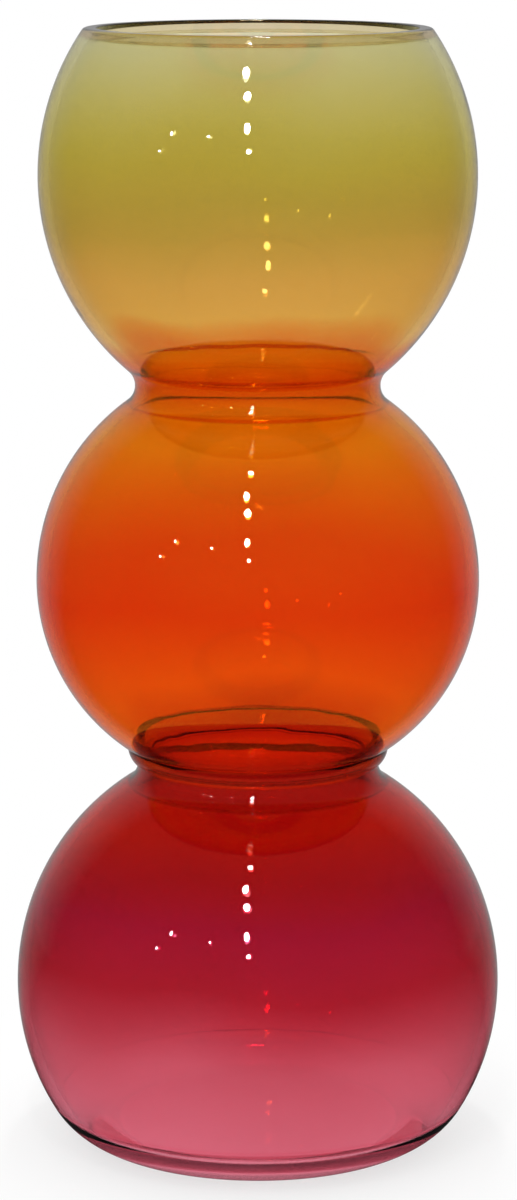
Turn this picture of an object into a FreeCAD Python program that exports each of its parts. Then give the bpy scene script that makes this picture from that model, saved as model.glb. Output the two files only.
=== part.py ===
"""Vase of three stacked glass globes, as the rings and layers of glass that it is fused from.

Sizes are millimetres. The origin is the centre of the foot's underside, and +Z points up the vase. Each
piece is a ring of glass about the Z axis: a section in the XZ plane, turned once around. The sections are
drawn against the vase's outer line, a chain of round stretches from the floor to the lip, and depths are
measured from that line.
"""

import FreeCAD, Part
import Sketcher
import math
import os
from collections import namedtuple

# Driving sizes

SIZES = {
    "lower_globe_radius": 88.5,
    "foot_flattening": 29,
    "foot_edge_arc": 30,
    "lower_waist_radius": 43.9,
    "lower_waist_arc": 8,
    "middle_globe_radius": 80,
    "middle_belly_arc": 73.5,
    "upper_waist_radius": 44,
    "upper_waist_arc": 7.5,
    "upper_globe_radius": 78,
    "upper_globe_arc": 91,
    "mouth_inset": 16.5,
    "casing_wall": 3.2,
    "lining_wall": 0.8,
    "pad_thickness": 8,
    "collar_bead_arc": 7.5,
    "lip_depth": 2.6,
    "lip_edge_arc": 0.9,
}

doc = FreeCAD.newDocument("triple_gourd_vase")
sheet = doc.addObject("Spreadsheet::Sheet", "Sizes")
for row, (alias, number) in enumerate(SIZES.items(), start=1):
    sheet.set(f"A{row}", alias)
    sheet.set(f"B{row}", str(number))
    sheet.setAlias(f"B{row}", alias)
doc.recompute()


def size(alias):
    return float(sheet.get(alias))


# Depths under the outer line, as the layers of glass above them

OUTSIDE = ()
UNDER_CASING = ("casing_wall",)
UNDER_LINING = ("casing_wall", "lining_wall")

# Round stretches of the outer line: each globe rests on the waist below it

Round = namedtuple("Round", "x z radius alias hollow")


def lowest_globe(alias, flattening_alias):
    """A globe that is pressed flat on the floor by so much of its height."""
    radius = size(alias)
    return Round(0, radius - size(flattening_alias), radius, alias, False)


def foot_round(alias, globe):
    """A round that stands on the floor and runs smoothly into a globe from inside."""
    radius = size(alias)
    x = math.sqrt((globe.radius - radius) ** 2 - (globe.z - radius) ** 2)
    return Round(x, radius, radius, alias, False)


def waist_above(globe, alias, neck_alias):
    """A hollow round that runs smoothly into the globe below it and is narrowest at the neck."""
    radius = size(alias)
    x = size(neck_alias) + radius
    z = globe.z + math.sqrt((globe.radius + radius) ** 2 - (x - globe.x) ** 2)
    return Round(x, z, radius, alias, True)


def globe_above(waist, alias, widest_alias):
    """A stretch of the next globe, as high as it comes to rest on the waist."""
    radius = size(alias)
    x = size(widest_alias) - radius
    z = waist.z + math.sqrt((waist.radius + radius) ** 2 - (waist.x - x) ** 2)
    return Round(x, z, radius, alias, False)


lower = lowest_globe("lower_globe_radius", "foot_flattening")
lower_waist = waist_above(lower, "lower_waist_arc", "lower_waist_radius")
belly = globe_above(lower_waist, "middle_belly_arc", "middle_globe_radius")
shoulder = Round(0, belly.z, size("middle_globe_radius"), "middle_globe_radius", False)
upper_waist = waist_above(shoulder, "upper_waist_arc", "upper_waist_radius")
upper = globe_above(upper_waist, "upper_globe_arc", "upper_globe_radius")
ROUNDS = {
    "foot_edge": foot_round("foot_edge_arc", lower),
    "lower": lower,
    "lower_waist": lower_waist,
    "belly": belly,
    "shoulder": shoulder,
    "upper_waist": upper_waist,
    "upper": upper,
    "crown": upper,
}

# Joints: the points of the outer line where stretches or pieces meet

DOWN = -math.pi / 2
OUTWARD = 0
INWARD = math.pi


def on_round(name, angle):
    curve = ROUNDS[name]
    spoke = FreeCAD.Vector(math.cos(angle), math.sin(angle)) * curve.radius
    return FreeCAD.Vector(curve.x, curve.z) + spoke


def towards(name, other):
    """The point of one round that lies in the direction of another's centre."""
    start, end = ROUNDS[name], ROUNDS[other]
    return on_round(name, math.atan2(end.z - start.z, end.x - start.x))


MOUTH_RADIUS = size("upper_globe_radius") - size("mouth_inset")
MOUTH_ANGLE = math.acos((MOUTH_RADIUS - upper.x) / upper.radius)
LIP_SEAT_ANGLE = math.asin(math.sin(MOUTH_ANGLE) - size("lip_depth") / upper.radius)
JOINTS = {
    "floor": on_round("foot_edge", DOWN),
    "foot": towards("lower", "foot_edge"),
    "lower_waist_below": towards("lower", "lower_waist"),
    "lower_groove": on_round("lower_waist", INWARD),
    "lower_waist_above": towards("belly", "lower_waist"),
    "middle_widest": on_round("shoulder", OUTWARD),
    "upper_waist_below": towards("shoulder", "upper_waist"),
    "upper_groove": on_round("upper_waist", INWARD),
    "upper_waist_above": towards("upper", "upper_waist"),
    "upper_widest": on_round("crown", OUTWARD),
    "lip_seat": on_round("crown", LIP_SEAT_ANGLE),
    "mouth": on_round("crown", MOUTH_ANGLE),
}

# Sketch words

ORIGIN = (-1, 1)
H_AXIS = -1
V_AXIS = -2
START, END, CENTRE = 1, 2, 3
FACING = FreeCAD.Vector(0, 0, 1)
FULL_TURN = 360


def foot_end(name):
    """The end of a round that is nearer to the foot: a hollow round is drawn from the top down."""
    return END if ROUNDS[name].hollow else START


def lip_end(name):
    return START if ROUNDS[name].hollow else END


def bearing(centre, point):
    """The angle of a point of the section about a centre, from the way outward."""
    return math.atan2(point.y - centre.y, point.x - centre.x)


class Section:
    """The sketch of one ring's section, with the vase's outer line and its joints as construction lines."""

    GUIDE = {
        "foot_edge": ("floor", "foot"),
        "lower": ("foot", "lower_waist_below"),
        "lower_waist": ("lower_waist_below", "lower_waist_above"),
        "belly": ("lower_waist_above", "middle_widest"),
        "shoulder": ("middle_widest", "upper_waist_below"),
        "upper_waist": ("upper_waist_below", "upper_waist_above"),
        "upper": ("upper_waist_above", "upper_widest"),
        "crown": ("upper_widest", "mouth"),
    }
    NORMALS = {
        "foot": ("lower", START),
        "lower_waist_below": ("lower", END),
        "lower_waist_above": ("belly", START),
        "middle_widest": ("shoulder", START),
        "upper_waist_below": ("shoulder", END),
        "upper_waist_above": ("upper", START),
        "upper_widest": ("crown", START),
    }
    LEVELS = {"lower_groove": "lower_waist", "upper_groove": "upper_waist"}

    def __init__(self, label):
        self.body = doc.addObject("PartDesign::Body", label)
        self.body.Label = label
        self.sketch = self.body.newObject("Sketcher::SketchObject", f"{label}_section")
        planes = {plane.Role: plane for plane in self.body.Origin.OriginFeatures}
        self.sketch.AttachmentSupport = (planes["XZ_Plane"], [""])
        self.sketch.MapMode = "FlatFace"
        self.guide = {}
        for name, (foot_joint, lip_joint) in self.GUIDE.items():
            self.guide[name] = self.draw_arc(name, foot_joint, lip_joint, OUTSIDE, construction=True)
        self.place_guide()
        self.normals = {}
        for joint, (name, end) in self.NORMALS.items():
            self.normals[joint] = self.draw_line(self.centre(name), JOINTS[joint], construction=True)
            self.rule("Coincident", self.normals[joint], START, self.guide[name], CENTRE)
            self.rule("Coincident", self.normals[joint], END, self.guide[name], end)
        for joint, name in self.LEVELS.items():
            self.normals[joint] = self.draw_spoke(joint, name)
            self.rule("Horizontal", self.normals[joint])
        self.normals["lip_seat"] = self.draw_spoke("lip_seat", "crown")
        mouth = (self.guide["crown"], END)
        self.rule("DistanceY", self.normals["lip_seat"], END, *mouth, formula="Sizes.lip_depth")

    def rule(self, kind, *where, formula=None):
        """Adds a constraint, and ties its size to the sheet if it has one."""
        if formula is None:
            return self.sketch.addConstraint(Sketcher.Constraint(kind, *where))
        value = float(self.sketch.evalExpression(formula))
        index = self.sketch.addConstraint(Sketcher.Constraint(kind, *where, value))
        self.sketch.setExpression(f"Constraints[{index}]", formula)

    def centre(self, name):
        return FreeCAD.Vector(ROUNDS[name].x, ROUNDS[name].z)

    def draw_line(self, start, end, construction=False):
        return self.sketch.addGeometry(Part.LineSegment(start, end), construction)

    def draw_circle_part(self, centre, radius, start, end, construction=False):
        """Draws the arc about a centre that runs anticlockwise from one angle to another."""
        while end < start:
            end += math.tau
        arc = Part.ArcOfCircle(Part.Circle(centre, FACING, radius), start, end)
        return self.sketch.addGeometry(arc, construction)

    def draw_arc(self, name, foot_joint, lip_joint, depth, construction=False):
        """Draws a stretch of a round between two joints, that deep under the outer line."""
        curve = ROUNDS[name]
        centre = self.centre(name)
        ends = [foot_joint, lip_joint]
        if curve.hollow:
            ends.reverse()
        angles = [bearing(centre, JOINTS[joint]) for joint in ends]
        sunk = sum(size(layer) for layer in depth)
        radius = curve.radius + sunk if curve.hollow else curve.radius - sunk
        return self.draw_circle_part(centre, radius, *angles, construction)

    def draw_spoke(self, joint, name):
        """Draws a construction line from a round's centre to a joint on it."""
        line = self.draw_line(self.centre(name), JOINTS[joint], construction=True)
        self.rule("Coincident", line, START, self.guide[name], CENTRE)
        self.rule("PointOnObject", line, END, self.guide[name])
        return line

    def place_guide(self):
        """Sizes the outer line and joins its rounds smoothly."""
        guide = self.guide
        for name, line in guide.items():
            self.rule("Radius", line, formula=f"Sizes.{ROUNDS[name].alias}")
        names = list(guide)
        for below, above in zip(names, names[1:]):
            self.rule("Tangent", guide[below], lip_end(below), guide[above], foot_end(above))
        self.rule("PointOnObject", guide["foot_edge"], START, H_AXIS)
        self.rule("Vertical", guide["foot_edge"], CENTRE, guide["foot_edge"], START)
        self.rule("PointOnObject", guide["lower"], CENTRE, V_AXIS)
        level = "Sizes.lower_globe_radius - Sizes.foot_flattening"
        self.rule("DistanceY", *ORIGIN, guide["lower"], CENTRE, formula=level)
        self.rule("PointOnObject", guide["shoulder"], CENTRE, V_AXIS)
        for upper_half in ("shoulder", "crown"):
            self.rule("Horizontal", guide[upper_half], CENTRE, guide[upper_half], START)
        for waist in ("lower_waist", "upper_waist"):
            neck = f"Sizes.{waist}_radius + Sizes.{waist}_arc"
            self.rule("DistanceX", *ORIGIN, guide[waist], CENTRE, formula=neck)
        offset = "Sizes.upper_globe_arc - Sizes.upper_globe_radius"
        self.rule("DistanceX", guide["upper"], CENTRE, *ORIGIN, formula=offset)
        mouth = "Sizes.upper_globe_radius - Sizes.mouth_inset"
        self.rule("DistanceX", *ORIGIN, guide["crown"], END, formula=mouth)

    def run(self, depth, *joints, names):
        """Draws a line parallel to the outer line, that deep in the glass, through the joints in turn.

        Returns its end points, nearer the foot first.
        """
        drawn = []
        for name, foot_joint, lip_joint in zip(names, joints, joints[1:]):
            arc = self.draw_arc(name, foot_joint, lip_joint, depth)
            self.rule("Coincident", arc, CENTRE, self.guide[name], CENTRE)
            if drawn:
                self.rule("Coincident", arc, foot_end(name), *drawn[-1][1])
            else:
                sign = "+" if ROUNDS[name].hollow else "-"
                layers = "".join(f" {sign} Sizes.{layer}" for layer in depth)
                self.rule("Radius", arc, formula=f"Sizes.{ROUNDS[name].alias}{layers}")
                if foot_joint in self.normals:
                    self.rule("PointOnObject", arc, foot_end(name), self.normals[foot_joint])
            if lip_joint in self.normals:
                self.rule("PointOnObject", arc, lip_end(name), self.normals[lip_joint])
            drawn.append(((arc, foot_end(name)), (arc, lip_end(name))))
        return drawn[0][0], drawn[-1][1]

    def point(self, vertex):
        return self.sketch.getPoint(*vertex)

    def join(self, start, end):
        """Draws a straight face between two points of the section."""
        line = self.draw_line(self.point(start), self.point(end))
        self.rule("Coincident", line, START, *start)
        self.rule("Coincident", line, END, *end)
        return line

    def turn(self):
        """Turns the section once around the vase's axis."""
        ring = self.body.newObject("PartDesign::Revolution", f"{self.body.Label}_ring")
        ring.Profile = self.sketch
        ring.ReferenceAxis = (self.sketch, ["V_Axis"])
        ring.Angle = FULL_TURN
        self.body.Tip = ring
        return ring


def wall(label, names, joints, outside, inside):
    """A ring between two depths of the wall, closed by faces square to the wall."""
    section = Section(label)
    outer = section.run(outside, *joints, names=names)
    inner = section.run(inside, *joints, names=names)
    section.join(outer[0], inner[0])
    section.join(outer[1], inner[1])
    section.turn()


# Clear casings of the three globes and the ring that joins the upper two

wall("lower_globe", ["lower"], ["foot", "lower_waist_below"], OUTSIDE, UNDER_CASING)
wall(
    "middle_globe",
    ["belly", "shoulder"],
    ["lower_waist_above", "middle_widest", "upper_waist_below"],
    OUTSIDE,
    UNDER_CASING,
)
wall(
    "upper_waist_collar",
    ["upper_waist"],
    ["upper_waist_below", "upper_waist_above"],
    OUTSIDE,
    UNDER_CASING,
)
wall(
    "upper_globe",
    ["upper", "crown"],
    ["upper_waist_above", "upper_widest", "lip_seat"],
    OUTSIDE,
    UNDER_CASING,
)

# Coloured layers inside the upper two globes, which meet at the necks

wall(
    "middle_globe_lining",
    ["lower_waist", "belly", "shoulder", "upper_waist"],
    ["lower_groove", "lower_waist_above", "middle_widest", "upper_waist_below", "upper_groove"],
    UNDER_CASING,
    UNDER_LINING,
)
wall(
    "upper_globe_lining",
    ["upper_waist", "upper", "crown"],
    ["upper_groove", "upper_waist_above", "upper_widest", "lip_seat"],
    UNDER_CASING,
    UNDER_LINING,
)


def lower_waist_collar():
    """The ring that joins the lower two globes, with a bead of glass above the neck's groove."""
    section = Section("lower_waist_collar")
    below, groove = section.run(OUTSIDE, "lower_waist_below", "lower_groove", names=["lower_waist"])
    inner = section.run(UNDER_CASING, "lower_waist_below", "lower_waist_above", names=["lower_waist"])
    top = (section.guide["belly"], START)
    start, end = JOINTS["lower_groove"], JOINTS["lower_waist_above"]
    radius = size("collar_bead_arc")
    chord = end - start
    reach = math.sqrt(radius**2 - (chord.Length / 2) ** 2)
    inward = FreeCAD.Vector(-chord.y, chord.x).normalize()
    centre = (start + end) / 2 + inward * reach
    bead = section.draw_circle_part(centre, radius, bearing(centre, start), bearing(centre, end))
    section.rule("Coincident", bead, START, *groove)
    section.rule("Coincident", bead, END, *top)
    section.rule("Radius", bead, formula="Sizes.collar_bead_arc")
    section.join(below, inner[0])
    section.join((bead, END), inner[1])
    section.turn()


lower_waist_collar()

# The cup's bottom: an inner round that runs smoothly into the wall above it and the flat floor below it

FOOT_ANGLE = bearing(FreeCAD.Vector(lower.x, lower.z), JOINTS["foot"])
FOOT_NORMAL = FreeCAD.Vector(math.cos(FOOT_ANGLE), math.sin(FOOT_ANGLE))
CUP_EDGE = JOINTS["foot"] - FOOT_NORMAL * size("casing_wall")
CUP_ROUND = (CUP_EDGE.y - size("pad_thickness")) / (1 + math.sin(FOOT_ANGLE))
CUP_CENTRE = CUP_EDGE - FOOT_NORMAL * CUP_ROUND


def cup_round(section, edge, depth):
    """Draws the inner round, down from a point of the wall on the foot joint's normal."""
    arc = section.draw_circle_part(CUP_CENTRE, CUP_ROUND - depth, DOWN, FOOT_ANGLE)
    section.rule("Coincident", arc, END, *edge)
    return arc


def cup_floor(section, arc, height):
    """Draws the flat floor, from the axis to the inner round."""
    line = section.draw_line(FreeCAD.Vector(0, height), section.point((arc, START)))
    section.rule("PointOnObject", line, START, V_AXIS)
    section.rule("Horizontal", line)
    return line


def base_pad():
    """The thick disc that is the foot: flat below, dished above, with a large round edge."""
    section = Section("base_pad")
    floor_edge, outer_edge = section.run(OUTSIDE, "floor", "foot", names=["foot_edge"])
    section.rule("Vertical", floor_edge[0], CENTRE, *floor_edge)
    seat = section.draw_line(JOINTS["foot"], CUP_EDGE)
    section.rule("Coincident", seat, START, *outer_edge)
    section.rule("PointOnObject", seat, END, section.normals["foot"])
    section.rule("Distance", seat, formula="Sizes.casing_wall")
    arc = cup_round(section, (seat, END), 0)
    section.rule("PointOnObject", arc, CENTRE, section.normals["foot"])
    floor = cup_floor(section, arc, size("pad_thickness"))
    section.rule("DistanceY", *ORIGIN, floor, START, formula="Sizes.pad_thickness")
    section.rule("Tangent", floor, END, arc, START)
    section.join((floor, START), ORIGIN)
    section.join(ORIGIN, floor_edge)
    section.turn()


def lower_globe_lining():
    """The coloured layer inside the lowest globe: a cup that covers the pad and ends at the neck."""
    section = Section("lower_globe_lining")
    names = ["lower", "lower_waist"]
    joints = ["foot", "lower_waist_below", "lower_groove"]
    outer = section.run(UNDER_CASING, *joints, names=names)
    inner = section.run(UNDER_LINING, *joints, names=names)
    section.join(outer[1], inner[1])
    outer_arc = cup_round(section, outer[0], 0)
    section.rule("PointOnObject", outer_arc, CENTRE, section.normals["foot"])
    outer_floor = cup_floor(section, outer_arc, size("pad_thickness"))
    section.rule("DistanceY", *ORIGIN, outer_floor, START, formula="Sizes.pad_thickness")
    section.rule("Tangent", outer_floor, END, outer_arc, START)
    inner_arc = cup_round(section, inner[0], size("lining_wall"))
    section.rule("Coincident", inner_arc, CENTRE, outer_arc, CENTRE)
    section.rule("Vertical", inner_arc, CENTRE, inner_arc, START)
    inner_floor = cup_floor(section, inner_arc, size("pad_thickness") + size("lining_wall"))
    section.rule("Coincident", inner_floor, END, inner_arc, START)
    section.join((outer_floor, START), (inner_floor, START))
    section.turn()


def rim_lip():
    """The lip at the mouth: the whole wall's thickness, flat on top with rounded edges."""
    section = Section("rim_lip")
    outer = section.run(OUTSIDE, "lip_seat", "mouth", names=["crown"])
    inner = section.run(UNDER_LINING, "lip_seat", "mouth", names=["crown"])
    section.rule("Horizontal", *outer[1], section.guide["crown"], END)
    section.join(outer[0], inner[0])
    top = section.join(outer[1], inner[1])
    section.rule("Horizontal", top)
    ring = section.turn()
    doc.recompute()
    height = ring.Shape.BoundBox.ZMax
    flat = min(ring.Shape.Faces, key=lambda face: height - face.CenterOfMass.z)
    edges = [f"Edge{number}" for number, edge in enumerate(ring.Shape.Edges, start=1)
             if any(edge.isSame(side) for side in flat.Edges)]
    rounds = section.body.newObject("PartDesign::Fillet", "rim_lip_rounds")
    rounds.Base = (ring, edges)
    rounds.setExpression("Radius", "Sizes.lip_edge_arc")
    section.body.Tip = rounds


base_pad()
lower_globe_lining()
rim_lip()

# Checks, then one file for each piece

doc.recompute()
failed = [item.Label for item in doc.Objects if "Invalid" in item.State or "Error" in item.State]
pieces = [item for item in doc.Objects if item.TypeId == "PartDesign::Body"]
failed += [piece.Label for piece in pieces if piece.Shape.isNull() or not piece.Shape.isValid()]
if failed:
    raise RuntimeError(f"not built: {failed}")
os.makedirs("parts", exist_ok=True)
for piece in pieces:
    piece.Shape.exportStep(f"parts/{piece.Label}.step")
    print(f"{piece.Label}: {len(piece.Shape.Solids)} solid, {piece.Shape.Volume:.0f} mm3")
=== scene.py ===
"""Vase of three stacked globes, dressed as blown and cased glass over its construction model."""

import math
from collections import namedtuple

import bmesh
import bpy
from bpy.props import FloatProperty, FloatVectorProperty, PointerProperty
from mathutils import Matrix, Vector


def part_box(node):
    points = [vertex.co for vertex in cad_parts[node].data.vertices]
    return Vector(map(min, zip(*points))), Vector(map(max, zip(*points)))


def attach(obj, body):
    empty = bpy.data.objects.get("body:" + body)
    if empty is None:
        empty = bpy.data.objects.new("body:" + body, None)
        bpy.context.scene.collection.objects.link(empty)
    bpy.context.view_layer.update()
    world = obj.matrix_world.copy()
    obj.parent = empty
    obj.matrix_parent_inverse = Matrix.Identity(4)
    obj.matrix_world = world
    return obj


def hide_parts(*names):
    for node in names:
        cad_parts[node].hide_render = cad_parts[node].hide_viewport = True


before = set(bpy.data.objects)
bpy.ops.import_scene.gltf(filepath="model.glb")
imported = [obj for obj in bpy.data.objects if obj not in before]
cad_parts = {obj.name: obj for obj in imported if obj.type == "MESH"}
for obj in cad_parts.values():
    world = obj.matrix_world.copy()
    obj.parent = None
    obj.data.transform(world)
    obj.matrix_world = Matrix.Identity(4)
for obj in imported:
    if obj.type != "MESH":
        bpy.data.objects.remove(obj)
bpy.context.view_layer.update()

bl_info = {
    "name": "Triple gourd vase",
    "version": (1, 0, 0),
    "blender": (4, 5, 0),
    "location": "View3D > Sidebar > Vase",
    "description": "Builds the blown and cased glass of a vase of three stacked globes",
    "category": "Add Mesh",
}

MM = 0.001
WHITE = (1, 1, 1, 1)
BLACK = (0, 0, 0, 1)

# Fineness of the turned meshes, and a hairline: where glass is fused to glass, one piece runs that far into
# the other, so that they share no face and light passes as if there were none
TURN_STEPS = 192
ARC_STEP = math.radians(2)
SHARP_ANGLE = math.radians(35)
MERGE = 0.0005 * MM
HAIRLINE = 0.03 * MM

# Soda lime glass, and the share of a wall's tint that its casing gives: the coloured layer gives the rest
GLASS_IOR = 1.5
CASING_TINT_SHARE = 0.6

# How strongly the glass itself dims the light, per metre: most at the waists and the lip, which show darker
PAD_GREY = 2
CASING_GREY = 12
COLLAR_GREY = 26
BEAD_GREY = 45
LIP_BROWN = 60

# The slow swells that blowing leaves in a globe: how many go round, over how many millimetres of height one
# leans by a radian, where it starts and how strong it is
SWELLS = ((2, 95, 0.8, 1), (3, -41, 2.1, 0.55), (5, 23, 4.0, 0.3))

# The colours aren't laid evenly: how long their patches are, and how far they drift up or down
PATCH_LENGTH = 75 * MM
PATCH_DRIFT = 11 * MM

# The photograph's frame, in its own pixels, and the view that fits the vase's outline to it
PHOTO_HEIGHT_PX = 1200
FOCAL_PX = 3982.6
CAMERA_PLACE = Vector((0.25, -1413.7, 474.65)) * MM
CAMERA_PITCH = math.radians(10.965)
SENSOR = 36

# The studio as the glass mirrors it: a dim room, and a paler backdrop behind the vase. The last two say how
# far back a direction points where the backdrop begins and where it is at its brightest.
DIM_ROOM = 0.02
BACKDROP = 0.38
BACKDROP_EDGE = 0.45
BACKDROP_FULL = 0.93

# Light from overhead is a little dimmer through the glass: where that begins and ends, and how bright it is
OVERHEAD_START = 0.1
OVERHEAD_END = 0.9
OVERHEAD_LEVEL = 0.7

# The floor's size, between which distances it fades to the white background, and how white it starts
FLOOR_RADIUS = 1300 * MM
FLOOR_SIDES = 96
FADE_START = 70 * MM
FADE_END = 180 * MM
FADE_LEAST = 0.7

# The studio's small soft lamps: degrees round to the right and up, then distance, width and height.
# The first six stand in a row over the camera, the others to its left.
LAMPS = (
    (-5, 101, 1.25, 0.12, 0.12),
    (-7, 64.5, 1.25, 0.05, 0.05),
    (-8, 52, 1.25, 0.06, 0.1),
    (-6, 43, 1.25, 0.07, 0.08),
    (-5.5, 29, 1.5, 0.07, 0.12),
    (-4.5, 20, 1.5, 0.05, 0.05),
    (-25, 25, 1.5, 0.03, 0.03),
    (-46, 25, 1.5, 0.03, 0.04),
    (-52, 17, 1.5, 0.025, 0.025),
)
LAMP_AIM = Vector((0, 0, 0.2))
LAMP_RADIANCE = 90


def linear(hex_colour):
    """An sRGB hex colour as linear red, green and blue."""
    channels = [int(hex_colour[start:start + 2], 16) / 255 for start in (1, 3, 5)]
    return tuple(c / 12.92 if c <= 0.04045 else ((c + 0.055) / 1.055) ** 2.4 for c in channels)


def length(name, description, millimetres):
    return FloatProperty(name=name, description=description, default=millimetres * MM, min=0, unit="LENGTH")


def colour(name, description, hex_colour):
    return FloatVectorProperty(
        name=name, description=description, default=linear(hex_colour), subtype="COLOR", min=0, max=1
    )


class VaseSizes(bpy.types.PropertyGroup):
    """The sizes that the vase's outline and wall follow."""

    lower_globe_radius: length("Bottom globe", "Radius of the bottom globe", 88.5)
    foot_flattening: length("Foot flattening", "Height by which the bottom globe is pressed flat", 29)
    foot_edge_arc: length("Foot edge", "Radius of the round edge of the foot", 30)
    lower_waist_radius: length("Lower waist", "Radius of the lower waist's groove", 43.9)
    lower_waist_arc: length("Lower waist round", "Radius of the hollow round at the lower waist", 8)
    middle_globe_radius: length("Middle globe", "Radius of the middle globe", 80)
    middle_belly_arc: length("Middle belly", "Radius of the middle globe's lower half, in section", 73.5)
    upper_waist_radius: length("Upper waist", "Radius of the upper waist's groove", 44)
    upper_waist_arc: length("Upper waist round", "Radius of the hollow round at the upper waist", 7.5)
    upper_globe_radius: length("Top globe", "Radius of the top globe", 78)
    upper_globe_arc: length("Top globe arc", "Radius of the top globe's wall, in section", 91)
    mouth_inset: length("Mouth inset", "How far the mouth lies inside the top globe's widest level", 16.5)
    casing_wall: length("Casing", "Thickness of the clear outer glass", 3.2)
    lining_wall: length("Layer", "Thickness of the coloured inner glass", 0.8)
    pad_thickness: length("Bottom", "Thickness of the bottom at its centre", 8)
    collar_bead_arc: length("Bead", "Radius of the bead above the lower waist's groove", 7.5)
    lip_depth: length("Lip", "Height of the separate lip at the mouth", 2.6)
    lip_edge_arc: length("Lip edge", "Radius of the fire polished edges of the lip", 0.9)
    wander: length("Wander", "How far the blown wall wanders inward from a true round", 0.35)


class VaseColours(bpy.types.PropertyGroup):
    """The colours that one wall lets through at each height, and those of the lip and the floor."""

    rim_olive: colour("Olive at the mouth", "Palest olive, where the wall was stretched", "#e6e3c0")
    olive: colour("Olive", "Olive at the top globe's widest level", "#d9cd73")
    olive_low: colour("Olive, low", "Olive as it turns to amber", "#d7c16e")
    amber: colour("Amber", "Amber of the top globe's lower half", "#e9c87d")
    amber_low: colour("Amber, low", "Amber just above the upper waist", "#f5d085")
    waist_orange: colour("Waist orange", "Deep orange at the upper waist", "#eb7604")
    orange_high: colour("Orange, high", "Orange below the upper waist", "#f5b424")
    orange: colour("Orange", "Orange at the middle globe's widest level", "#ee6514")
    orange_low: colour("Orange, low", "Orange of the middle globe's lower half", "#fe9918")
    waist_red: colour("Waist red", "Deep red at the lower waist", "#c53628")
    shoulder_red: colour("Shoulder red", "Red orange of the bottom globe's shoulders", "#e13f22")
    cranberry_high: colour("Cranberry, high", "Bluer cranberry high on the bottom globe", "#c02c55")
    cranberry: colour("Cranberry", "Deep cranberry above the bottom globe's widest level", "#c03043")
    cranberry_low: colour("Cranberry, low", "Paler cranberry below the widest level", "#dd7c8b")
    foot_pink: colour("Foot pink", "Pink of the bottom, where the layer is thinnest", "#faafbf")
    lip: colour("Lip", "Pale olive brown of the polished lip", "#e2d9b4")
    lip_deep: colour("Lip, deep", "Brown of the light that runs along the lip", "#a07848")
    floor: colour("Floor", "Matt pale floor", "#f4f4f4")
    floor_under_foot: colour("Floor under the foot", "Floor as the foot's lower face tints it", "#f3d5dc")


# The vase's outer line, from the floor to the lip

Round = namedtuple("Round", "x z radius hollow")
Stretch = namedtuple("Stretch", "round start end")
FACING = (0, -1, 0)
OUTWARD = 0
INWARD = math.pi
DOWN = -math.pi / 2


def waist_on(globe, arc, neck):
    """A hollow round that runs smoothly into the globe below it and is narrowest at the neck."""
    x = neck + arc
    return Round(x, globe.z + math.sqrt((globe.radius + arc) ** 2 - (x - globe.x) ** 2), arc, True)


def globe_on(waist, arc, widest):
    """A stretch of the next globe, as high as it comes to rest on the waist."""
    x = widest - arc
    return Round(x, waist.z + math.sqrt((waist.radius + arc) ** 2 - (waist.x - x) ** 2), arc, False)


def bearing(start, end):
    """The angle of one round's centre from another's, from the way outward."""
    return math.atan2(end.z - start.z, end.x - start.x)


def on_round(curve, angle, depth=0):
    """A point of the section on a round, that deep under the outer line."""
    radius = curve.radius + depth if curve.hollow else curve.radius - depth
    return Vector((curve.x + radius * math.cos(angle), 0, curve.z + radius * math.sin(angle)))


class Outline:
    """The round stretches that the vase's pieces follow."""

    def __init__(self, sizes):
        lower = Round(0, sizes.lower_globe_radius - sizes.foot_flattening, sizes.lower_globe_radius, False)
        arc = sizes.foot_edge_arc
        foot_x = math.sqrt((lower.radius - arc) ** 2 - (lower.z - arc) ** 2)
        foot = Round(foot_x, arc, arc, False)
        lower_waist = waist_on(lower, sizes.lower_waist_arc, sizes.lower_waist_radius)
        belly = globe_on(lower_waist, sizes.middle_belly_arc, sizes.middle_globe_radius)
        shoulder = Round(0, belly.z, sizes.middle_globe_radius, False)
        upper_waist = waist_on(shoulder, sizes.upper_waist_arc, sizes.upper_waist_radius)
        upper = globe_on(upper_waist, sizes.upper_globe_arc, sizes.upper_globe_radius)
        mouth_radius = sizes.upper_globe_radius - sizes.mouth_inset
        mouth = math.acos((mouth_radius - upper.x) / upper.radius)
        lip_seat = math.asin(math.sin(mouth) - sizes.lip_depth / upper.radius)
        foot_angle = bearing(lower, foot)
        lower_neck = bearing(lower, lower_waist)
        belly_foot = bearing(belly, lower_waist)
        shoulder_top = bearing(shoulder, upper_waist)
        upper_foot = bearing(upper, upper_waist)
        self.foot = Stretch(foot, DOWN, foot_angle)
        self.lower = Stretch(lower, foot_angle, lower_neck)
        self.lower_waist_under = Stretch(lower_waist, lower_neck + INWARD, INWARD)
        self.lower_waist_over = Stretch(lower_waist, INWARD, belly_foot + INWARD)
        self.belly = Stretch(belly, belly_foot, OUTWARD)
        self.shoulder = Stretch(shoulder, OUTWARD, shoulder_top)
        self.upper_waist_under = Stretch(upper_waist, shoulder_top + INWARD, INWARD)
        self.upper_waist_over = Stretch(upper_waist, INWARD, upper_foot + INWARD)
        self.upper = Stretch(upper, upper_foot, lip_seat)
        self.lip = Stretch(upper, lip_seat, mouth)
        edge = on_round(lower, foot_angle, sizes.casing_wall)
        cup_arc = (edge.z - sizes.pad_thickness) / (1 + math.sin(foot_angle))
        cup_centre = edge - Vector((math.cos(foot_angle), 0, math.sin(foot_angle))) * cup_arc
        self.cup = Stretch(Round(cup_centre.x, cup_centre.z, cup_arc, False), DOWN, foot_angle)


# Sections, drawn as chains of edges and turned once around the axis


def start_chain(mesh, place):
    return mesh.verts.new(place)


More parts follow.
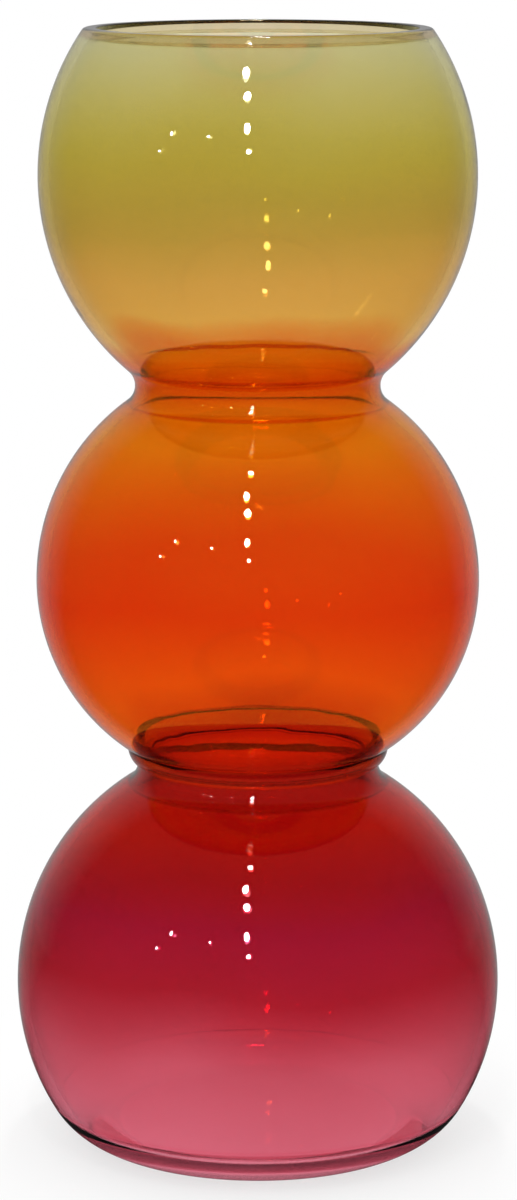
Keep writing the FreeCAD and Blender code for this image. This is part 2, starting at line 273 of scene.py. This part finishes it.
def carry_line(mesh, vertex, place):
    """Carries the chain straight to a place."""
    far = bmesh.ops.extrude_vert_indiv(mesh, verts=[vertex])["verts"][0]
    far.co = place
    return far


def carry_arc(mesh, vertex, curve, start, end):
    """Carries the chain along a round from one angle to another."""
    sweep = math.remainder(end - start, math.tau)
    steps = max(2, math.ceil(abs(sweep) / ARC_STEP))
    centre = (curve.x, 0, curve.z)
    spun = bmesh.ops.spin(mesh, geom=[vertex], cent=centre, axis=FACING, angle=sweep, steps=steps)
    return next(item for item in spun["geom_last"] if isinstance(item, bmesh.types.BMVert))


def carry_up(mesh, vertex, stretches):
    for stretch in stretches:
        vertex = carry_arc(mesh, vertex, stretch.round, stretch.start, stretch.end)
    return vertex


def carry_down(mesh, vertex, stretches):
    for stretch in reversed(stretches):
        vertex = carry_arc(mesh, vertex, stretch.round, stretch.end, stretch.start)
    return vertex


def run_on(stretches, extra):
    """The same stretches, longer by a little at both ends."""

    def lead(stretch):
        sweep = math.remainder(stretch.end - stretch.start, math.tau)
        return math.copysign(extra / stretch.round.radius, sweep)

    first = stretches[0]
    stretches = [first._replace(start=first.start - lead(first))] + stretches[1:]
    last = stretches[-1]
    return stretches[:-1] + [last._replace(end=last.end + lead(last))]


def ring_section(mesh, stretches, outer, inner):
    """The wall between two depths, closed by faces square to it."""
    first, last = stretches[0], stretches[-1]
    begin = on_round(first.round, first.start, outer)
    top = carry_up(mesh, start_chain(mesh, begin), stretches)
    top = carry_line(mesh, top, on_round(last.round, last.end, inner))
    carry_line(mesh, carry_down(mesh, top, stretches), begin)


def wander_share(place):
    """How far in the wall lies at a place, from 0 to 1."""
    turn = math.atan2(place.y, place.x)
    height = place.z / MM
    swell = sum(
        strength * math.sin(waves * turn + height / lean + start) for waves, lean, start, strength in SWELLS
    )
    return 0.5 + 0.5 * swell / sum(strength for *_, strength in SWELLS)


def turn_section(mesh, sizes):
    """Turns the chain into a closed ring or bowl, and lets its wall wander a little."""
    bmesh.ops.remove_doubles(mesh, verts=mesh.verts, dist=MERGE)
    chain = mesh.verts[:] + mesh.edges[:]
    bmesh.ops.spin(
        mesh, geom=chain, cent=(0, 0, 0), axis=(0, 0, 1), angle=math.tau, steps=TURN_STEPS, use_merge=True
    )
    bmesh.ops.remove_doubles(mesh, verts=mesh.verts, dist=MERGE)
    for vertex in mesh.verts:
        share = 1 - sizes.wander * wander_share(vertex.co) / sizes.lower_globe_radius
        vertex.co.x *= share
        vertex.co.y *= share
    bmesh.ops.recalc_face_normals(mesh, faces=mesh.faces)


def finish_mesh(mesh):
    """Shades the mesh smooth, with its corners sharp."""
    for face in mesh.faces:
        face.smooth = True
    for edge in mesh.edges:
        edge.smooth = edge.calc_face_angle(0) < SHARP_ANGLE


def place_piece(name, mesh, material, node):
    """Makes the piece, which rides on the root body and stands for a node of the frame."""
    finish_mesh(mesh)
    data = bpy.data.meshes.new(name)
    mesh.to_mesh(data)
    mesh.free()
    data.materials.append(material)
    piece = bpy.data.objects.new(name, data)
    bpy.context.collection.objects.link(piece)
    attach(piece, "root")
    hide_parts(node)


# Materials


def add_node(tree, kind, settings=None, inputs=None):
    """Adds a shader node: a setting is an attribute, an input a value or another node's output socket."""
    node = tree.nodes.new(kind)
    for name, value in (settings or {}).items():
        setattr(node, name, value)
    for name, value in (inputs or {}).items():
        if isinstance(value, bpy.types.NodeSocket):
            tree.links.new(value, node.inputs[name])
        else:
            node.inputs[name].default_value = value
    return node


def new_material(name):
    """An empty node material, made once and found again after that."""
    material = bpy.data.materials.get(name) or bpy.data.materials.new(name)
    material.use_nodes = True
    material.node_tree.nodes.clear()
    return material, material.node_tree


def hand_made_ripple(tree):
    """The faint waves that the pipe and the wooden block leave in a hot wall, and that bend its highlights.

    Both faces of the wall wander together, so the height is turned over on the face that looks inward.
    """
    coordinates = add_node(tree, "ShaderNodeTexCoord").outputs
    wave_length = 28 * MM
    wave_height = 0.22 * MM
    waves = add_node(
        tree,
        "ShaderNodeTexNoise",
        inputs={"Vector": coordinates["Object"], "Scale": 1 / wave_length, "Detail": 1.6},
    ).outputs["Fac"]
    level = add_node(tree, "ShaderNodeMath", {"operation": "SUBTRACT"}, {0: waves, 1: 0.5}).outputs["Value"]
    outward = add_node(
        tree,
        "ShaderNodeVectorMath",
        {"operation": "MULTIPLY"},
        {0: coordinates["Object"], 1: (1, 1, 0)},
    ).outputs["Vector"]
    facing = add_node(
        tree,
        "ShaderNodeVectorMath",
        {"operation": "DOT_PRODUCT"},
        {0: outward, 1: coordinates["Normal"]},
    ).outputs["Value"]
    side = add_node(tree, "ShaderNodeMath", {"operation": "SIGN"}, {0: facing}).outputs["Value"]
    height = add_node(tree, "ShaderNodeMath", {"operation": "MULTIPLY"}, {0: level, 1: side})
    return add_node(
        tree,
        "ShaderNodeBump",
        inputs={"Height": height.outputs["Value"], "Distance": wave_height, "Strength": 1},
    ).outputs["Normal"]


def tint_by_height(tree, stops, share):
    """The colour of the glass at each height, as the share of one wall's tint that this layer gives."""
    place = add_node(tree, "ShaderNodeTexCoord").outputs["Object"]
    height = add_node(tree, "ShaderNodeSeparateXYZ", inputs={"Vector": place}).outputs["Z"]
    patches = add_node(
        tree, "ShaderNodeTexNoise", inputs={"Vector": place, "Scale": 1 / PATCH_LENGTH, "Detail": 1}
    ).outputs["Fac"]
    drift = add_node(
        tree, "ShaderNodeMapRange", inputs={"Value": patches, "To Min": -PATCH_DRIFT, "To Max": PATCH_DRIFT}
    ).outputs["Result"]
    height = add_node(tree, "ShaderNodeMath", {"operation": "ADD"}, {0: height, 1: drift}).outputs["Value"]
    low, high = stops[0][0], stops[-1][0]
    level = add_node(
        tree, "ShaderNodeMapRange", inputs={"Value": height, "From Min": low, "From Max": high}
    ).outputs["Result"]
    ramp = add_node(tree, "ShaderNodeValToRGB", inputs={"Fac": level})
    elements = ramp.color_ramp.elements
    elements[0].position, elements[-1].position = 0, 1
    for stop, _ in stops[1:-1]:
        elements.new((stop - low) / (high - low))
    for element, (_, tint) in zip(elements, stops):
        element.color = (*[channel**share for channel in tint], 1)
    return ramp.outputs["Color"]


def clear_glass(name, stops, density, rippled=False):
    """Soda lime glass, fire polished, which took a paler tint of the layers inside it.

    It makes the colour look wet and deep, and mirrors the backdrop as a pale band along each outline.
    """
    material, tree = new_material(name)
    shader = add_node(
        tree,
        "ShaderNodeBsdfPrincipled",
        inputs={
            "Base Color": tint_by_height(tree, stops, CASING_TINT_SHARE),
            "Roughness": 0,
            "IOR": GLASS_IOR,
            "Transmission Weight": 1,
        },
    )
    if rippled:
        tree.links.new(hand_made_ripple(tree), shader.inputs["Normal"])
    absorption = add_node(tree, "ShaderNodeVolumeAbsorption", inputs={"Color": BLACK, "Density": density})
    add_node(
        tree,
        "ShaderNodeOutputMaterial",
        inputs={"Surface": shader.outputs["BSDF"], "Volume": absorption.outputs["Volume"]},
    )
    return material


def coloured_layer(name, stops):
    """Transparent coloured glass: a film under a millimetre thick, gathered in the casing and fused to it.

    The eye sees the colours of the front and the back wall through each other.
    """
    material, tree = new_material(name)
    shader = add_node(
        tree,
        "ShaderNodeBsdfPrincipled",
        inputs={
            "Base Color": tint_by_height(tree, stops, 1 - CASING_TINT_SHARE),
            "Roughness": 0,
            "IOR": GLASS_IOR,
            "Transmission Weight": 1,
        },
    )
    add_node(tree, "ShaderNodeOutputMaterial", inputs={"Surface": shader.outputs["BSDF"]})
    return material


def mirrored_room(tree, direction):
    """How bright the studio is where the glass mirrors it, in a direction from the vase."""
    away = add_node(tree, "ShaderNodeVectorMath", {"operation": "NORMALIZE"}, {0: direction})
    back = add_node(tree, "ShaderNodeSeparateXYZ", inputs={"Vector": away.outputs["Vector"]})
    return add_node(
        tree,
        "ShaderNodeMapRange",
        inputs={
            "Value": back.outputs["Y"],
            "From Min": BACKDROP_EDGE,
            "From Max": BACKDROP_FULL,
            "To Min": DIM_ROOM,
            "To Max": BACKDROP,
        },
    ).outputs["Result"]


def lip_glass(colours):
    """The lip, ground flat and fire polished: clear and coloured glass fused, and brown along its edge."""
    material, tree = new_material("fire_polished_lip_glass")
    shader = add_node(
        tree,
        "ShaderNodeBsdfPrincipled",
        inputs={
            "Base Color": (*colours.lip, 1),
            "Roughness": 0,
            "IOR": GLASS_IOR,
            "Transmission Weight": 1,
        },
    )
    absorption = add_node(
        tree, "ShaderNodeVolumeAbsorption", inputs={"Color": (*colours.lip_deep, 1), "Density": LIP_BROWN}
    )
    add_node(
        tree,
        "ShaderNodeOutputMaterial",
        inputs={"Surface": shader.outputs["BSDF"], "Volume": absorption.outputs["Volume"]},
    )
    return material


# Operators, one for each piece or group of like pieces


class VaseOperator:
    """What the vase's operators share."""

    bl_options = {"REGISTER", "UNDO"}

    def parts(self, context):
        """The sizes, the outline and the tint of one wall at each height, from the foot to the mouth."""
        sizes, colours = context.scene.vase_sizes, context.scene.vase_colours
        line = Outline(sizes)
        low, lower_waist = [corner.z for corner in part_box("lower_globe_lining")]
        upper_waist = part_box("middle_globe_lining")[1].z
        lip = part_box("upper_globe_lining")[1].z
        lower, middle, upper = line.lower.round.z, line.belly.round.z, line.upper.round.z

        def between(start, end, share):
            return start + (end - start) * share

        stops = [
            (low, colours.foot_pink),
            (between(low, lower, 0.82), colours.cranberry_low),
            (between(lower, lower_waist, 0.2), colours.cranberry),
            (between(lower, lower_waist, 0.46), colours.cranberry_high),
            (between(lower, lower_waist, 0.8), colours.shoulder_red),
            (lower_waist, colours.waist_red),
            (between(lower_waist, middle, 0.28), colours.orange_low),
            (middle, colours.orange),
            (between(middle, upper_waist, 0.78), colours.orange_high),
            (between(upper_waist, upper, 0.1), colours.waist_orange),
            (between(upper_waist, upper, 0.24), colours.amber_low),
            (between(upper_waist, upper, 0.58), colours.amber),
            (between(upper_waist, upper, 0.8), colours.olive_low),
            (between(upper, lip, 0.2), colours.olive),
            (lip, colours.rim_olive),
        ]
        return sizes, line, stops


class VASE_OT_foot(VaseOperator, bpy.types.Operator):
    """Adds the thick clear pad that is the foot, flat below and dished above"""

    bl_idname = "vase.foot"
    bl_label = "Foot pad"

    def execute(self, context):
        sizes, line, stops = self.parts(context)
        mesh = bmesh.new()
        vertex = carry_line(mesh, start_chain(mesh, (0, 0, 0)), (line.foot.round.x, 0, 0))
        vertex = carry_up(mesh, vertex, [line.foot])
        vertex = carry_line(mesh, vertex, on_round(line.cup.round, line.cup.end))
        vertex = carry_down(mesh, vertex, [line.cup])
        carry_line(mesh, vertex, (0, 0, sizes.pad_thickness))
        turn_section(mesh, sizes)
        glass = clear_glass("pressed_soda_lime_pad", stops, PAD_GREY)
        place_piece("foot_pad_glass", mesh, glass, "base_pad")
        return {"FINISHED"}


class VASE_OT_casings(VaseOperator, bpy.types.Operator):
    """Adds the clear casings of the three globes"""

    bl_idname = "vase.casings"
    bl_label = "Clear globes"

    def execute(self, context):
        sizes, line, stops = self.parts(context)
        globes = {
            "lower_globe": [line.lower],
            "middle_globe": [line.belly, line.shoulder],
            "upper_globe": [line.upper],
        }
        for node, stretches in globes.items():
            mesh = bmesh.new()
            ring_section(mesh, run_on(stretches, HAIRLINE), 0, sizes.casing_wall)
            turn_section(mesh, sizes)
            glass = clear_glass("blown_soda_lime_casing", stops, CASING_GREY, rippled=True)
            place_piece(f"{node}_glass", mesh, glass, node)
        return {"FINISHED"}


class VASE_OT_collars(VaseOperator, bpy.types.Operator):
    """Adds the clear rings that join the globes at the waists, the lower one with its bead"""

    bl_idname = "vase.collars"
    bl_label = "Waist collars"

    def execute(self, context):
        sizes, line, stops = self.parts(context)
        wall = sizes.casing_wall
        mesh = bmesh.new()
        ring_section(mesh, [line.upper_waist_under, line.upper_waist_over], 0, wall)
        turn_section(mesh, sizes)
        glass = clear_glass("trailed_soda_lime_collar", stops, COLLAR_GREY)
        place_piece("upper_waist_ring", mesh, glass, "upper_waist_collar")
        self.beaded_collar(sizes, line, stops)
        return {"FINISHED"}

    def beaded_collar(self, sizes, line, stops):
        """The lower ring: its bead bulges over the groove and meets the middle globe in a step."""
        under, over = line.lower_waist_under, line.lower_waist_over
        mesh = bmesh.new()
        begin = on_round(under.round, under.start)
        vertex = carry_up(mesh, start_chain(mesh, begin), [under])
        groove, top = vertex.co.copy(), on_round(over.round, over.end)
        chord = top - groove
        arc = sizes.collar_bead_arc
        inward = Vector((-chord.z, 0, chord.x)).normalized()
        centre = (groove + top) / 2 + inward * math.sqrt(arc**2 - (chord.length / 2) ** 2)
        bead = Round(centre.x, centre.z, arc, False)
        ends = [math.atan2(end.z - bead.z, end.x - bead.x) for end in (groove, top)]
        vertex = carry_arc(mesh, vertex, bead, *ends)
        vertex = carry_line(mesh, vertex, on_round(over.round, over.end, sizes.casing_wall))
        carry_line(mesh, carry_down(mesh, vertex, [under, over]), begin)
        turn_section(mesh, sizes)
        glass = clear_glass("beaded_soda_lime_collar", stops, BEAD_GREY)
        place_piece("lower_waist_ring", mesh, glass, "lower_waist_collar")


class VASE_OT_layers(VaseOperator, bpy.types.Operator):
    """Adds the coloured layers that line the three globes and meet at the waists"""

    bl_idname = "vase.layers"
    bl_label = "Coloured layers"

    def execute(self, context):
        sizes, line, stops = self.parts(context)
        outer = sizes.casing_wall - HAIRLINE
        inner = sizes.casing_wall + sizes.lining_wall
        walls = {
            "orange": ("middle_globe_lining", [
                line.lower_waist_over, line.belly, line.shoulder, line.upper_waist_under
            ]),
            "olive": ("upper_globe_lining", [line.upper_waist_over, line.upper]),
        }
        for name, (node, stretches) in walls.items():
            mesh = bmesh.new()
            ring_section(mesh, run_on(stretches, HAIRLINE), outer, inner)
            turn_section(mesh, sizes)
            film = coloured_layer(f"{name}_glass_film", stops)
            place_piece(f"{name}_layer", mesh, film, node)
        self.cup(sizes, line, stops, inner)
        return {"FINISHED"}

    def cup(self, sizes, line, stops, inner):
        """The cranberry layer: a cup that covers the pad and ends at the lower waist."""
        first, last = run_on([line.lower, line.lower_waist_under], HAIRLINE)
        stretches = [line.cup, first._replace(start=line.cup.end), last]
        mesh = bmesh.new()
        begin = Vector((0, 0, sizes.pad_thickness - HAIRLINE))
        vertex = carry_line(mesh, start_chain(mesh, begin), (line.cup.round.x, 0, begin.z))
        vertex = carry_up(mesh, vertex, stretches)
        vertex = carry_line(mesh, vertex, on_round(last.round, last.end, inner))
        vertex = carry_down(mesh, vertex, stretches)
        carry_line(mesh, vertex, (0, 0, sizes.pad_thickness + sizes.lining_wall))
        turn_section(mesh, sizes)
        film = coloured_layer("cranberry_glass_film", stops)
        place_piece("cranberry_layer", mesh, film, "lower_globe_lining")


class VASE_OT_lip(VaseOperator, bpy.types.Operator):
    """Adds the lip at the mouth, ground flat with fire polished edges"""

    bl_idname = "vase.lip"
    bl_label = "Lip"

    def execute(self, context):
        sizes, line, stops = self.parts(context)
        wall = sizes.casing_wall + sizes.lining_wall
        outer, inner = line.lip.round.radius, line.lip.round.radius - wall
        level = on_round(line.lip.round, line.lip.end).z
        inner_mouth = math.asin((level - line.lip.round.z) / inner)
        begin = on_round(line.lip.round, line.lip.start)
        mesh = bmesh.new()
        vertex = carry_up(mesh, start_chain(mesh, begin), [line.lip])
        vertex = carry_line(mesh, vertex, on_round(line.lip.round, inner_mouth, wall))
        vertex = carry_arc(mesh, vertex, line.lip.round, inner_mouth, line.lip.start)
        carry_line(mesh, vertex, begin)
        turn_section(mesh, sizes)
        rim = [edge for edge in mesh.edges
               if min(vertex.co.z for vertex in edge.verts) > level - MERGE
               and edge.calc_face_angle(0) > SHARP_ANGLE]
        bmesh.ops.bevel(
            mesh, geom=rim, offset=sizes.lip_edge_arc, affect="EDGES", segments=5, profile=0.5, material=-1
        )
        place_piece("lip_ring", mesh, lip_glass(context.scene.vase_colours), "rim_lip")
        return {"FINISHED"}


class VASE_OT_stage(VaseOperator, bpy.types.Operator):
    """Adds the floor, the soft studio light and the camera"""

    bl_idname = "vase.stage"
    bl_label = "Stage"

    def execute(self, context):
        scene = context.scene
        scene.view_settings.view_transform = "Standard"
        self.floor(context)
        self.world(scene)
        self.lamps(context)
        self.camera(context)
        return {"FINISHED"}

    def floor(self, context):
        """A matt pale table, which keeps the vase's shadow and fades to plain white around it.

        It lies a hairline up in the pad, so that it shows through the foot with no dark gap.
        """
        mesh = bmesh.new()
        bmesh.ops.create_circle(mesh, cap_ends=True, segments=FLOOR_SIDES, radius=FLOOR_RADIUS)
        bmesh.ops.translate(mesh, verts=mesh.verts, vec=(0, 0, HAIRLINE))
        data = bpy.data.meshes.new("floor")
        mesh.to_mesh(data)
        mesh.free()
        sizes, line, _ = self.parts(context)
        contact = line.foot.round.x + math.sqrt(2 * sizes.foot_edge_arc * HAIRLINE)
        data.materials.append(self.floor_material(context.scene.vase_colours, contact))
        floor = bpy.data.objects.new("floor", data)
        context.collection.objects.link(floor)

    def floor_material(self, colours, contact):
        """Matt near the vase, but as bright as the studio farther out and wherever the glass shows it.

        Under the foot it has the tint of the pad's lower face, which lies below it there.
        """
        material, tree = new_material("matt_pale_floor")
        place = add_node(tree, "ShaderNodeTexCoord").outputs["Object"]
        distance = add_node(
            tree, "ShaderNodeVectorMath", {"operation": "LENGTH"}, {0: place}
        ).outputs["Value"]
        far = add_node(
            tree,
            "ShaderNodeMapRange",
            {"interpolation_type": "SMOOTHSTEP"},
            {"Value": distance, "From Min": FADE_START, "From Max": FADE_END, "To Min": FADE_LEAST},
        ).outputs["Result"]
        path = add_node(tree, "ShaderNodeLightPath").outputs
        bright = add_node(
            tree, "ShaderNodeMath", {"operation": "MULTIPLY"}, {0: far, 1: path["Is Camera Ray"]}
        ).outputs["Value"]
        for ray in ("Is Transmission Ray", "Is Glossy Ray"):
            bright = add_node(
                tree, "ShaderNodeMath", {"operation": "MAXIMUM"}, {0: bright, 1: path[ray]}
            ).outputs["Value"]
        # A ray that came through smooth glass counts as glossy too, so only the others are mirrored ones
        mirrored = add_node(
            tree,
            "ShaderNodeMath",
            {"operation": "SUBTRACT", "use_clamp": True},
            {0: path["Is Glossy Ray"], 1: path["Is Transmission Ray"]},
        ).outputs["Value"]
        strength = add_node(
            tree,
            "ShaderNodeMapRange",
            inputs={"Value": mirrored, "To Min": 1, "To Max": mirrored_room(tree, place)},
        ).outputs["Result"]
        edge = 0.6 * MM
        beside_foot = add_node(
            tree,
            "ShaderNodeMapRange",
            inputs={"Value": distance, "From Min": contact - edge, "From Max": contact},
        ).outputs["Result"]
        # The sockets of a colour mix: its factor, then its two colours
        tint = add_node(
            tree,
            "ShaderNodeMix",
            {"data_type": "RGBA"},
            {0: beside_foot, 6: (*colours.floor_under_foot, 1), 7: WHITE},
        ).outputs[2]
        matt = add_node(tree, "ShaderNodeBsdfDiffuse", inputs={"Color": (*colours.floor, 1)})
        glow = add_node(tree, "ShaderNodeEmission", inputs={"Color": tint, "Strength": strength})
        mixed = add_node(
            tree,
            "ShaderNodeMixShader",
            inputs={0: bright, 1: matt.outputs["BSDF"], 2: glow.outputs["Emission"]},
        )
        add_node(tree, "ShaderNodeOutputMaterial", inputs={"Surface": mixed.outputs["Shader"]})
        return material

    def world(self, scene):
        """White all round, to the eye and to the surfaces that it lights.

        Through the glass it is a little dimmer overhead, and mirrored in the glass it is the dim room.
        """
        world = bpy.data.worlds.new("studio")
        world.use_nodes = True
        tree = world.node_tree
        tree.nodes.clear()
        direction = add_node(tree, "ShaderNodeTexCoord").outputs["Generated"]
        up = add_node(tree, "ShaderNodeSeparateXYZ", inputs={"Vector": direction}).outputs["Z"]
        overhead = add_node(
            tree,
            "ShaderNodeMapRange",
            inputs={
                "Value": up,
                "From Min": OVERHEAD_START,
                "From Max": OVERHEAD_END,
                "To Min": 1,
                "To Max": OVERHEAD_LEVEL,
            },
        ).outputs["Result"]
        path = add_node(tree, "ShaderNodeLightPath").outputs
        # The later kind of ray wins: one that came through smooth glass counts as glossy too
        views = {
            "Is Glossy Ray": mirrored_room(tree, direction),
            "Is Transmission Ray": overhead,
            "Is Camera Ray": 1.0,
        }
        level = 1.0
        for ray, seen in views.items():
            level = add_node(
                tree, "ShaderNodeMix", {"data_type": "FLOAT"}, {"Factor": path[ray], "A": level, "B": seen}
            ).outputs["Result"]
        back = add_node(tree, "ShaderNodeBackground", inputs={"Color": WHITE, "Strength": level})
        add_node(tree, "ShaderNodeOutputWorld", inputs={"Surface": back.outputs["Background"]})
        scene.world = world

    def lamps(self, context):
        """Small soft lamps above each other on the camera's side: the highlights down the globes."""
        for number, (azimuth, elevation, distance, width, height) in enumerate(LAMPS, start=1):
            turn, rise = math.radians(azimuth), math.radians(elevation)
            level = math.cos(rise)
            away = Vector((math.sin(turn) * level, -math.cos(turn) * level, math.sin(rise)))
            data = bpy.data.lights.new(f"soft_lamp_{number}", "AREA")
            data.shape = "ELLIPSE"
            data.size, data.size_y = width, height
            area = math.pi * width * height / 4
            data.energy = LAMP_RADIANCE * math.pi * area
            lamp = bpy.data.objects.new(data.name, data)
            lamp.location = LAMP_AIM + away * distance
            lamp.rotation_euler = away.to_track_quat("Z", "Y").to_euler()
            lamp.visible_camera = False
            context.collection.objects.link(lamp)

    def camera(self, context):
        """The photograph's view: its whole height is the sensor's longer side."""
        data = bpy.data.cameras.new("photo_view")
        data.sensor_width = SENSOR
        data.lens = SENSOR * FOCAL_PX / PHOTO_HEIGHT_PX
        data.clip_start = 50 * MM
        camera = bpy.data.objects.new("photo_view", data)
        camera.location = CAMERA_PLACE
        camera.rotation_euler = (math.pi / 2 - CAMERA_PITCH, 0, 0)
        context.collection.objects.link(camera)
        context.scene.camera = camera


OPERATORS = (VASE_OT_foot, VASE_OT_casings, VASE_OT_collars, VASE_OT_layers, VASE_OT_lip, VASE_OT_stage)


class VASE_PT_panel(bpy.types.Panel):
    """Lists the vase's pieces, sizes and colours"""

    bl_idname = "VASE_PT_panel"
    bl_label = "Triple gourd vase"
    bl_space_type = "VIEW_3D"
    bl_region_type = "UI"
    bl_category = "Vase"

    def draw(self, context):
        for operator in OPERATORS:
            self.layout.operator(operator.bl_idname)
        for group in (context.scene.vase_sizes, context.scene.vase_colours):
            column = self.layout.column()
            for name in group.__annotations__:
                column.prop(group, name)


CLASSES = (VaseSizes, VaseColours, *OPERATORS, VASE_PT_panel)


def register():
    for item in CLASSES:
        bpy.utils.register_class(item)
    bpy.types.Scene.vase_sizes = PointerProperty(type=VaseSizes)
    bpy.types.Scene.vase_colours = PointerProperty(type=VaseColours)


def unregister():
    del bpy.types.Scene.vase_sizes, bpy.types.Scene.vase_colours
    for item in reversed(CLASSES):
        bpy.utils.unregister_class(item)


def main():
    register()
    bpy.ops.vase.stage()
    bpy.ops.vase.foot()
    bpy.ops.vase.casings()
    bpy.ops.vase.collars()
    bpy.ops.vase.layers()
    bpy.ops.vase.lip()


if __name__ == "__main__":
    main()
